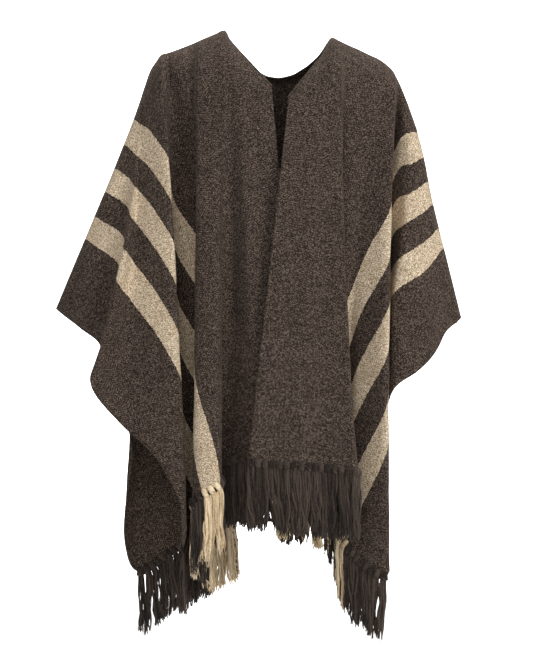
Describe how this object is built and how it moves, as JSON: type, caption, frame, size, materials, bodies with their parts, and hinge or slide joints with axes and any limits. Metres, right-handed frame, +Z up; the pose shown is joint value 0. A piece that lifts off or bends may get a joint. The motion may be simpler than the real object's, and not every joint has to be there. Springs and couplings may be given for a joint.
{
  "type": "andean poncho",
  "caption": "Open-fronted Andean poncho of dark wool with pale stripes and knotted tassel hems, worn and hollow",
  "frame": {"origin": "midway between the two sides of the neck, at the height of the shoulder line, where the wearer holds the garment up", "axes": "the front faces -Y, the wearer's left arm is towards +X, +Z is up"},
  "size_m": [0.7629, 0.4228, 1.158],
  "materials": {
    "dark_wool_cloth": "dark brown heathered wool twill",
    "neck_binding_wool": "dark wool, turned and stitched",
    "fringe_yarn": "dark twisted wool yarn"
  },
  "bodies": {
    "root": {"panel_left": "dark_wool_cloth", "panel_right": "dark_wool_cloth", "neck_binding": "neck_binding_wool", "fringe_front_left": "fringe_yarn", "fringe_front_right": "fringe_yarn", "fringe_back_left": "fringe_yarn", "fringe_back_right": "fringe_yarn"}
  },
  "joints": []
}
